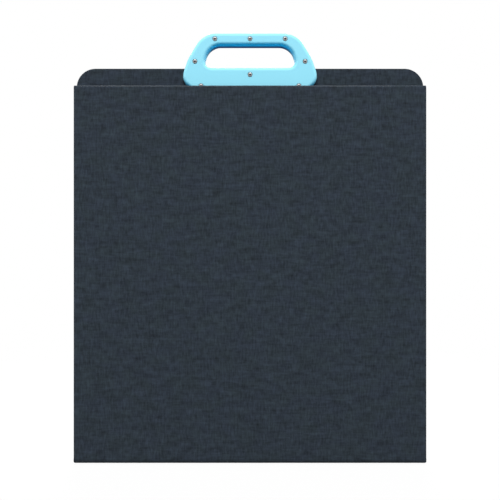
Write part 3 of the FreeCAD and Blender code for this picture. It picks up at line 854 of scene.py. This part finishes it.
# %% Where the screws are
def islands(node_name):
    """The middle of each separate solid in a frame part, seen from the front."""
    mesh = bmesh.new()
    mesh.from_mesh(nodes[node_name].data)
    bmesh.ops.remove_doubles(mesh, verts=mesh.verts, dist=0.00001)
    left, middles = set(mesh.verts), []
    while left:
        heap, group = [left.pop()], []
        while heap:
            vert = heap.pop()
            group.append(vert.co.copy())
            for edge in vert.link_edges:
                other = edge.other_vert(vert)
                if other in left:
                    left.remove(other)
                    heap.append(other)
        across, up = [[co[i] for co in group] for i in (0, 2)]
        middles.append([round((min(line) + max(line)) / 2, 6) for line in (across, up)])
    mesh.free()
    print(node_name, "has", len(middles), "solids")
    return sorted(middles)


screw_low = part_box("handle_screws")[0]
screw_spots = islands("handle_screws")


# %% The seats, cut all at once
def rod(name, x, z, radius, y0, y1, sides=40):
    let_go()
    bpy.ops.mesh.primitive_cylinder_add(vertices=sides, radius=radius, depth=y1 - y0,
                                        location=(x, (y0 + y1) / 2, z),
                                        rotation=(math.radians(90), 0, 0))
    return settle(bpy.context.object, name)


def together(pieces):
    """Several pieces as one object."""
    let_go()
    for piece in pieces:
        piece.select_set(True)
    bpy.context.view_layer.objects.active = pieces[0]
    bpy.ops.object.join()
    return bpy.context.object


SEAT_Y = screw_low[1] + 2.2 * MM
SEAT_RADIUS = 4.3 * MM
seats = [rod("cut_seat", x, z, SEAT_RADIUS, SEAT_Y - 10 * MM, SEAT_Y, 48) for x, z in screw_spots]
carve(front_half, together(seats))

# %% One pan-head screw
HEAD_RADIUS, HEAD_ROUND, CROWN = 3.7 * MM, 1.2 * MM, 0.15 * MM
CROSS_LONG, CROSS_HALF, CROSS_DEEP = 2.3 * MM, 0.7 * MM, 1.6 * MM

screw = rod("screw", 0, 0, HEAD_RADIUS, screw_low[1], SEAT_Y + 0.2 * MM)
open_up(screw)
round_edges(screw, lambda e: near(middle(e).y, screw_low[1]), HEAD_ROUND, 5)
pick(screw, "FACE", lambda f: f.normal.y < -SQUARE_ON)
bpy.ops.mesh.inset(thickness=0.6 * MM)
bpy.ops.transform.translate(value=(0, -CROWN, 0))
close_up(screw)
for x, z in ((CROSS_HALF, CROSS_LONG), (CROSS_LONG, CROSS_HALF)):
    carve(screw, block("cross", (-x, screw_low[1] - 1 * MM, -z), (x, screw_low[1] + CROSS_DEEP, z)))
print("screw faces:", len(screw.data.polygons))

# %% [markdown]
# ## Moulded plastic and zinc
# The plastic is a satin light blue with a very fine moulding grain. The parts that face down are
# given a deeper blue in their colour, as painted shade, and under the grip this painted shade
# deepens from front to back. The zinc is a rough grey metal, with painted shade in the cross of
# each screw and round the foot of its head.

# %% Grain group
grain, given, looks = new_group(
    "grain",
    [("Vector", "Vector", None), ("Colour", "Color", (0.5, 0.5, 0.5, 1)),
     ("Cells per metre", "Float", 1800.0), ("Cloudiness", "Float", 0.04),
     ("Roughness", "Float", 0.5), ("Roughness change", "Float", 0.1)],
    LOOKS,
)
places = vector_maths(grain, "SCALE", given["Vector"], Scale=given["Cells per metre"])[0]
fine = node(grain, "TexNoise", Vector=places, Scale=1.0, Detail=2.0).outputs[0]
broad = uneven(grain, given["Vector"], (22.0, 22.0, 22.0), 3.0, 0.5)
cloud = maths(grain, "ADD", swing(grain, broad, given["Cloudiness"]), 1.0)
feed(grain, vector_maths(grain, "SCALE", given["Colour"], Scale=cloud)[0], looks["Colour"])
change = swing(grain, broad, given["Roughness change"])
feed(grain, maths(grain, "ADD", change, given["Roughness"]), looks["Roughness"])
feed(grain, fine, looks["Height"])
print("grain group:", len(grain.nodes), "nodes")


# %% Grained finishes
def in_piece(tree):
    return node(tree, "TexCoord").outputs["Object"]


def grained(name, colour, cells, roughness, bump, cloudiness=0.04, change=0.1, specular=0.5,
            metal=0.0):
    settings = {"Colour": (*colour, 1), "Cells per metre": cells, "Cloudiness": cloudiness,
                "Roughness": roughness, "Roughness change": change}
    return patterned(name, grain, in_piece, settings, bump, 0.1 * MM,
                     Specular_IOR_Level=specular, Metallic=metal)


handle_plastic = grained("handle_plastic", (0.325, 0.815, 1.0), 2400.0, 0.5, 0.08, specular=0.2)
zinc = grained("zinc", (0.27, 0.27, 0.275), 3000.0, 0.36, 0.05, metal=1.0)


def its(made, kind):
    """The one node of a kind in a material."""
    return next(n for n in made.node_tree.nodes if n.type == kind)


# %% Deeper blue below, painted shade
def painted_shade_below(made, colour, deepest, near_y, far_y):
    """Painted shade: a face that looks down gets a deeper colour and less shine, darkest far back.
    """
    tree, group, finish = made.node_tree, its(made, "GROUP"), its(made, "BSDF_PRINCIPLED")
    where = node(tree, "TexCoord").outputs
    down = ramp(tree, xyz(tree, where["Normal"])[2], -1.0, 0.05, 1.0, 0.0, "SMOOTHSTEP")
    back = ramp(tree, xyz(tree, where["Object"])[1], near_y, far_y)
    tint = blend_colours(tree, back, (*colour, 1), (*deepest, 1))
    mixed = blend_colours(tree, down, group.outputs["Colour"], tint)
    feed(tree, mixed, finish.inputs["Base Color"])
    duller = maths(tree, "MULTIPLY", down, 0.45)
    feed(tree, maths(tree, "ADD", duller, group.outputs["Roughness"]), finish.inputs["Roughness"])


# painted shade: the handle's undersides are coloured a deeper blue, darkest towards the back of the
# grip
painted_shade_below(handle_plastic, (0.002, 0.53, 1.0), (0.0, 0.02, 0.1),
             shell_low[1] + 4.0 * MM, back_high[1] - 9.6 * MM)


# %% Darker down in the recess
def darker_inside(made, colour, near_y, far_y):
    """Little light gets down into the cross or to the foot of the head."""
    tree, group, finish = made.node_tree, its(made, "GROUP"), its(made, "BSDF_PRINCIPLED")
    depth = xyz(tree, node(tree, "TexCoord").outputs["Object"])[1]
    inside = ramp(tree, depth, near_y, far_y)
    mixed = blend_colours(tree, inside, group.outputs["Colour"], (*colour, 1))
    feed(tree, mixed, finish.inputs["Base Color"])


# painted shade: the cross and the foot of each screw head are coloured darker
darker_inside(zinc, (0.03, 0.03, 0.033), screw_low[1] + 0.3 * MM, screw_low[1] + 1.5 * MM)


# %% Handle and screws in place
def set_out(model, spots, name, body, material, slot, node_name):
    """Copies a piece to each of its places, each copy with its own mesh."""
    for i, (x, z) in enumerate(spots):
        copy = model.copy()
        copy.data = model.data.copy()
        bpy.context.collection.objects.link(copy)
        copy.location = (x, 0, z)
        settle(copy, "%s_%d" % (name, i + 1))
        dress(copy, body, material, slot, node_name)
    bpy.data.objects.remove(model)


dress(front_half, "rear_leaf", handle_plastic, "handle_plastic", "handle_front_shell")
dress(rear_half, "rear_leaf", handle_plastic, "handle_plastic", "handle_rear_shell")
set_out(screw, screw_spots, "handle_screw", "rear_leaf", zinc, "bright_steel", "handle_screws")

# %% [markdown]
# ## The two stands
# Behind the rear leaf two long flaps swing out as feet, so that the opened panel can lean back
# towards the sun. Each is a stiff board sewn into the cover cloth, with two large round corners
# at its foot and a soft turned end at its hinge. The block gets its corners first, then the
# full-round hinge end, then the small roll along every seam.

# %% Stand covers
STAND_RADIUS = 22.0 * MM
HINGE_ROUND = 2.45 * MM
STAND_ROLL = 1.2 * MM
ROLL_END_X = 245.0 * MM


def stand_cover(name, node_name):
    obj, low, high = start_block(name, node_name)
    round_edges(obj, lambda e: along(e, 1) and near(middle(e).x, low[0]), STAND_RADIUS, 12)
    round_edges(obj, lambda e: along(e, 2) and near(middle(e).x, high[0]), HINGE_ROUND, 6)
    round_edges(obj, lambda e: (lies_at(e, low[1]) or lies_at(e, high[1])) and rim(e)
                and middle(e).x < ROLL_END_X, STAND_ROLL, 3)
    cut_grid((low[0] + STAND_RADIUS, 0, low[2] + STAND_RADIUS),
             (high[0] - 5 * MM, 0, high[2] - STAND_RADIUS), CUTS)
    return close_up(obj)


for stand in STANDS:
    cover = stand_cover(stand + "_cloth", stand + "_cover")
    ripple(cover, 0.07, 0.4 * MM)
    wear_cloth(cover, stand, stand + "_cover")
    low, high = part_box(stand + "_cover")

# %% [markdown]
# ## Webbing hinges
# A stand is held by a strip of black webbing, sewn flat on the leaf, up the stand's turned end
# and flat again on its outer face. The strip starts as one narrow plane, its edge is pulled on
# round the two bends, the bends are rounded, and it is given its thickness.

# %% Webbing material
def ribbed(name, colour, ribs, bump):
    """Webbing: fine ribs across its width, on the same weave group."""
    made = cloth(name, colour, 0.35, 0.3, yarns=1500.0, bump=bump, sheen=0.1)
    tree = made.node_tree
    up = xyz(tree, its(made, "UVMAP").outputs[0])[1]
    wave = maths(tree, "SINE", maths(tree, "MULTIPLY", up, ribs * 2 * math.pi))
    height = maths(tree, "MULTIPLY_ADD", wave, 0.5, its(made, "GROUP").outputs["Height"])
    feed(tree, height, its(made, "BUMP").inputs["Height"])
    return made


webbing = ribbed("webbing", (0.011, 0.0135, 0.0175), 620.0, 0.7)

# %% A hinge strip
TAPE = 1.0 * MM
BEND_X = 249.3 * MM
LEAF_BEND, STAND_BEND = 1.2 * MM, 3.0 * MM


def hinge_strip(name, node_name):
    low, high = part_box(node_name)
    on_leaf, on_stand = low[1] + TAPE / 2, high[1] - TAPE / 2
    place = ((high[0] + BEND_X) / 2, on_leaf, (low[2] + high[2]) / 2)
    obj = flat_sheet(name, place, high[0] - BEND_X, high[2] - low[2], 90)
    pick(obj, "EDGE", lambda e: near(middle(e).x, BEND_X))
    pull_edge(0, high[1] - low[1] - TAPE, 0)
    pull_edge(low[0] - BEND_X, 0, 0)
    for y, radius, segments in ((on_leaf, LEAF_BEND, 4), (on_stand, STAND_BEND, 6)):
        round_edges(obj, lambda e: along(e, 2) and near(middle(e).x, BEND_X)
                    and near(middle(e).y, y), radius, segments)
    cut_across(2, even_steps(low[2], high[2], 4 * MM))
    close_up(obj)
    apply_modifier(obj, "SOLIDIFY", thickness=TAPE, offset=0.0, use_even_offset=True)
    return apply_modifier(obj, "BEVEL", width=0.25 * MM, segments=2, limit_method="ANGLE")


for stand in STANDS:
    low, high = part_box(stand + "_hinge_tape")
    strip = hinge_strip(stand + "_hinge", stand + "_hinge_tape")
    map_cloth(strip)
    dress(strip, None, webbing, "webbing", stand + "_hinge_tape")
    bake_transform(strip)

# %% [markdown]
# ## Hook and loop
# A stand is kept against the leaf by a hook-and-loop pair near its foot. Each half is a thin
# pad with rounded corners whose face is all tufts, so it is modelled as a pad with a face that
# is pushed in and out by a fine noise, and its colour is speckled the same way.

# %% Fuzzy material and pads
fuzz = grained("hook_and_loop", (0.011, 0.012, 0.013), 1500.0, 0.9, 0.9, cloudiness=0.5,
               specular=0.15)
PAD_CORNER = 4.0 * MM
PAD_ROLL = 0.3 * MM
TUFT, TUFT_HIGH, TUFT_CUTS = 1.6 * MM, 0.35 * MM, 1.3 * MM


def mark(obj, label, test):
    """Puts the points that pass the test into a group of that name."""
    obj.vertex_groups.new(name=label)
    pick(obj, "VERT", test)
    bpy.ops.object.vertex_group_assign()


def fuzzy_pad(name, node_name, facing):
    obj, low, high = start_block(name, node_name)
    outer = high[1] if facing > 0 else low[1]
    round_edges(obj, lambda e: along(e, 1), PAD_CORNER, 5)
    round_edges(obj, lambda e: lies_at(e, outer) and rim(e), PAD_ROLL, 2)
    cut_grid(low, high, TUFT_CUTS)
    mark(obj, "tufts", lambda v: near(v.co.y, outer))
    close_up(obj)
    return push_by_noise(obj, TUFT, facing * TUFT_HIGH, mid_level=1.0, vertex_group="tufts")


for stand in STANDS:
    for kind, facing, body in (("hook", -1, stand), ("loop", 1, "rear_leaf")):
        pad = fuzzy_pad(stand + "_" + kind + "s", stand + "_" + kind + "_pad", facing)
        dress(pad, body, fuzz, "hook_and_loop", stand + "_" + kind + "_pad")

# %% [markdown]
# ## The cable pocket
# Between the stands a flat pouch holds the cable and hides the junction box. It is sewn to the
# rear cover on three sides and open at its mouth. With nothing in it the cloth hangs a little
# slack, so the front panel sinks between its seams and wrinkles slightly. The flap is a strip
# that starts at its seam over the mouth, bends over it and hangs down in front.

# %% Pouch
POUCH_CORNER = 12 * MM
POUCH_ROLL = 2.5 * MM
POUCH_CUTS = 8 * MM
SEWN = 14 * MM


def pouch(name, node_name):
    obj, low, high = start_block(name, node_name)
    take_off(obj, lambda f: f.normal.y < -FLAT or f.normal.z > FLAT)
    round_edges(obj, lambda e: along(e, 1) and near(middle(e).z, low[2]), POUCH_CORNER, 8)
    round_edges(obj, lambda e: lies_at(e, high[1]) and joined(e), POUCH_ROLL, 4)
    cut_grid(low, high, POUCH_CUTS)
    mark(obj, "front", lambda v: near(v.co.y, high[1]) and abs(v.co.x) < high[0] - SEWN
         and v.co.z > low[2] + SEWN)
    close_up(obj)
    for size, height in ((0.11, 2.4 * MM), (0.035, 1.0 * MM)):
        push_by_noise(obj, size, height, mid_level=1.0, vertex_group="front")
    apply_modifier(obj, "SMOOTH", factor=0.5, iterations=4, use_x=False, use_z=False)
    return apply_modifier(obj, "SOLIDIFY", thickness=CLOTH, offset=-1.0, use_even_offset=True)


pouch_piece = pouch("cable_pouch", "pocket_body")
wear_cloth(pouch_piece, "rear_leaf", "pocket_body")


# %% Flap over its mouth
FLAP_BEND = 4.6 * MM


def flap(name, node_name):
    low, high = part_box(node_name)
    top, front, back = high[2] - CLOTH / 2, high[1] - CLOTH / 2, low[1] + CLOTH / 2
    obj = flat_sheet(name, (0, (front + back) / 2, top), high[0] - low[0], front - back)
    pick(obj, "EDGE", lambda e: lies_at(e, front))
    pull_edge(0, 0, low[2] - top)
    pick(obj, "VERT", lambda v: near(v.co.z, low[2]))
    bpy.ops.mesh.bevel(offset=POUCH_CORNER, segments=8, affect="VERTICES")
    round_edges(obj, lambda e: lies_at(e, front) and along(e, 0) and near(middle(e).z, top),
                FLAP_BEND, 6)
    cut_grid(low, high, POUCH_CUTS)
    close_up(obj)
    ripple(obj, 0.05, 0.25 * MM)
    apply_modifier(obj, "SOLIDIFY", thickness=CLOTH, offset=0.0, use_even_offset=True)
    return apply_modifier(obj, "BEVEL", width=0.3 * MM, segments=2, limit_method="ANGLE")


flap_piece = flap("pouch_flap", "pocket_flap")
wear_cloth(flap_piece, "pocket_flap", "pocket_flap")

# %% [markdown]
# ## Press studs
# The flap closes with three press studs. A stud's cap is a rolled disc with a dimple: a short
# cylinder whose rim is rounded and whose face is inset and pushed in. Its metal is brighter
# than the screws' and a little smoother.

# %% Caps
stud_metal = grained("stud_metal", (0.30, 0.31, 0.33), 1500.0, 0.3, 0.04, metal=1.0)
cap_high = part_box("pocket_stud_caps")[1]
CAP_RADIUS, CAP_THICK, CAP_ROUND, DIMPLE = 5.5 * MM, 1.6 * MM, 0.75 * MM, 0.5 * MM

cap = rod("stud_cap", 0, 0, CAP_RADIUS, cap_high[1] - CAP_THICK, cap_high[1], sides=36)
open_up(cap)
round_edges(cap, lambda e: near(middle(e).y, cap_high[1], 0.01 * MM), CAP_ROUND, 4)
pick(cap, "FACE", lambda f: f.normal.y > SQUARE_ON)
bpy.ops.mesh.inset(thickness=1.4 * MM)
bpy.ops.mesh.inset(thickness=0.5 * MM)
bpy.ops.transform.translate(value=(0, -DIMPLE, 0))
pick(cap, "FACE", lambda f: f.normal.y < -SQUARE_ON)
bpy.ops.mesh.inset(thickness=3.7 * MM)
pull_face(-CLOTH)
set_out(close_up(cap), islands("pocket_stud_caps"), "stud_cap", "pocket_flap", stud_metal,
        "stud_metal", "pocket_stud_caps")

# %% [markdown]
# ## Sewing thread
# Every cloth piece on the back is sewn down with a thick dark thread. One stitch is modelled, a
# small flattened lozenge that lies on the cloth, and an array repeats it along each seam.

# %% One stitch, and rows of it
STITCH = 2.6 * MM
PITCH = 3.6 * MM
STITCH_HALF, STITCH_HIGH = 0.3 * MM, 0.35 * MM
thread = grained("thread", (0.085, 0.105, 0.13), 2500.0, 0.6, 0.3, cloudiness=0.4, specular=0.3)


def seam(name, start, end):
    """A row of stitches from start to end on an upright face that looks backwards."""
    start, end = Vector(start), Vector(end)
    line = end - start
    obj = block(name, (0, -0.1 * MM, -STITCH_HALF), (STITCH, STITCH_HIGH, STITCH_HALF))
    open_up(obj)
    take_off(obj, lambda f: f.normal.y < -FLAT)
    round_edges(obj, lambda e: lies_at(e, STITCH_HIGH), 0.2 * MM, 1)
    close_up(obj)
    apply_modifier(obj, "ARRAY", count=int(line.length / PITCH), use_relative_offset=False,
                   use_constant_offset=True, constant_offset_displace=(PITCH, 0, 0))
    obj.rotation_euler = (0, -math.atan2(line.z, line.x), 0)
    obj.location = start
    settle(obj, name)
    dress(obj, None, thread, "cover_cloth")
    return obj


def seams(name, body, face, *lines):
    """Rows of stitches on one face; a line runs from x, z to x, z."""
    rows = [seam(name, (x0, face, z0), (x1, face, z1)) for x0, z0, x1, z1 in lines]
    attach(together(rows), body)


# %% Seams of the hinges and the stands
LEAF_ROWS = (254 * MM, 271 * MM)
STAND_ROWS = (226 * MM, 242 * MM)
SEAM_END_X = 218 * MM

for stand in STANDS:
    low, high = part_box(stand + "_hinge_tape")
    z0, z1 = low[2] + 3 * MM, high[2] - 3 * MM
    seams(stand + "_leaf_seams", "rear_leaf", low[1] + TAPE, *[(x, z0, x, z1) for x in LEAF_ROWS])
    seams(stand + "_flap_seams", stand, high[1], *[(x, z0, x, z1) for x in STAND_ROWS])

for stand in STANDS:
    low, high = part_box(stand + "_cover")
    x0, x1, z0, z1 = low[0] + 7 * MM, low[0] + 24 * MM, low[2] + 7 * MM, high[2] - 7 * MM
    seams(stand + "_edge_seams", stand, high[1], (x0, z0 + 18 * MM, x0, z1 - 18 * MM),
          (x1, z0, SEAM_END_X, z0), (x1, z1, SEAM_END_X, z1))

# %% Seams of the pouch and its flap
low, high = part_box("pocket_body")
x0, z0, z1 = low[0] + 6 * MM, low[2] + 6 * MM, 322 * MM
seams("pouch_seams", "rear_leaf", high[1], (x0, z0 + 10 * MM, x0, z1),
      (-x0, z0 + 10 * MM, -x0, z1), (x0 + 10 * MM, z0, -x0 - 10 * MM, z0))

low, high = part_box("pocket_flap")
edge, corner = 5 * MM, 14 * MM
sides = (low[0] + edge, high[0] - edge)
seams("flap_hem", "pocket_flap", high[1],
      *[(x, low[2] + corner, x, high[2] - 8 * MM) for x in sides],
      (low[0] + corner, low[2] + edge, high[0] - corner, low[2] + edge))

# %% [markdown]
# ## What only shows when the case is opened
# The panels themselves stay as the frame has them, and get their finish: nine dark cells with
# fine silver fingers and five ribbons each, a black sheet behind them, a clear sheet over them.
# The junction box is black moulded plastic, its gasket rubber, the boards pale grey plastic
# sheet and the magnets nickel-plated.

# %% Solar cells
FINGER_PITCH, FINGER_WIDE = 2.0 * MM, 0.18 * MM
RIBBON_PITCH, RIBBON_WIDE = 34.0 * MM, 0.9 * MM


def lines(tree, value, pitch, width, shift=0.0):
    """1 on evenly spaced lines and 0 between them."""
    turns = maths(tree, "MULTIPLY_ADD", value, 1 / pitch, shift)
    away = maths(tree, "ABSOLUTE", maths(tree, "SUBTRACT", maths(tree, "FRACT", turns), 0.5))
    return maths(tree, "LESS_THAN", away, width / pitch / 2)


def cell_material(name):
    made, tree = new_material(name)
    where = node(tree, "TexCoord").outputs["Object"]
    across, _, up = xyz(tree, where)
    fingers = lines(tree, up, FINGER_PITCH, FINGER_WIDE)
    ribbons = lines(tree, across, RIBBON_PITCH, RIBBON_WIDE, 0.5)
    dark = blend_colours(tree, uneven(tree, where, (30.0, 30.0, 30.0)),
                         (0.003, 0.006, 0.018, 1), (0.007, 0.011, 0.032, 1))
    faint = blend_colours(tree, maths(tree, "MULTIPLY", fingers, 0.4), dark, (0.10, 0.11, 0.13, 1))
    silver = blend_colours(tree, ribbons, faint, (0.24, 0.245, 0.26, 1))
    finish = node(tree, "BsdfPrincipled", Base_Color=silver, Coat_Weight=0.2, Coat_Roughness=0.12,
                  Roughness=maths(tree, "MULTIPLY_ADD", ribbons, -0.15, 0.45))
    node(tree, "OutputMaterial", Surface=finish.outputs[0])
    return made


# %% The clear sheet over them
def clear_material(name):
    made, tree = new_material(name)
    where = node(tree, "TexCoord").outputs["Object"]
    dimples = node(tree, "TexVoronoi", Vector=where, Scale=700.0).outputs["Distance"]
    relief = node(tree, "Bump", Strength=0.15, Distance=0.1 * MM, Height=dimples)
    finish = node(tree, "BsdfPrincipled", Base_Color=(0.05, 0.06, 0.08, 1), Roughness=0.28,
                  Specular_IOR_Level=0.3, Alpha=0.16, Normal=relief.outputs[0])
    node(tree, "OutputMaterial", Surface=finish.outputs[0])
    return made


# %% Finishes for the parts that stay as they are
finishes = {
    "cells": cell_material("solar_cell"),
    "clear_sheet": clear_material("clear_sheet"),
    "backsheet": grained("black_backsheet", (0.006, 0.006, 0.007), 900.0, 0.45, 0.1),
    "board": grained("board_plastic", (0.45, 0.45, 0.44), 700.0, 0.6, 0.2),
    "magnets": grained("nickel", (0.5, 0.49, 0.47), 2000.0, 0.3, 0.04, metal=1.0),
    "tray": grained("black_plastic", (0.012, 0.012, 0.013), 1600.0, 0.5, 0.3),
    "seal": grained("rubber", (0.02, 0.02, 0.02), 900.0, 0.8, 0.1, specular=0.3),
    "sockets": stud_metal,
}
finishes["lid"] = finishes["gland"] = finishes["tray"]
for name, obj in nodes.items():
    for ending, finish in finishes.items():
        if name.endswith(ending):
            for slot in obj.material_slots:
                slot.material = finish
            print(name, "wears", finish.name)
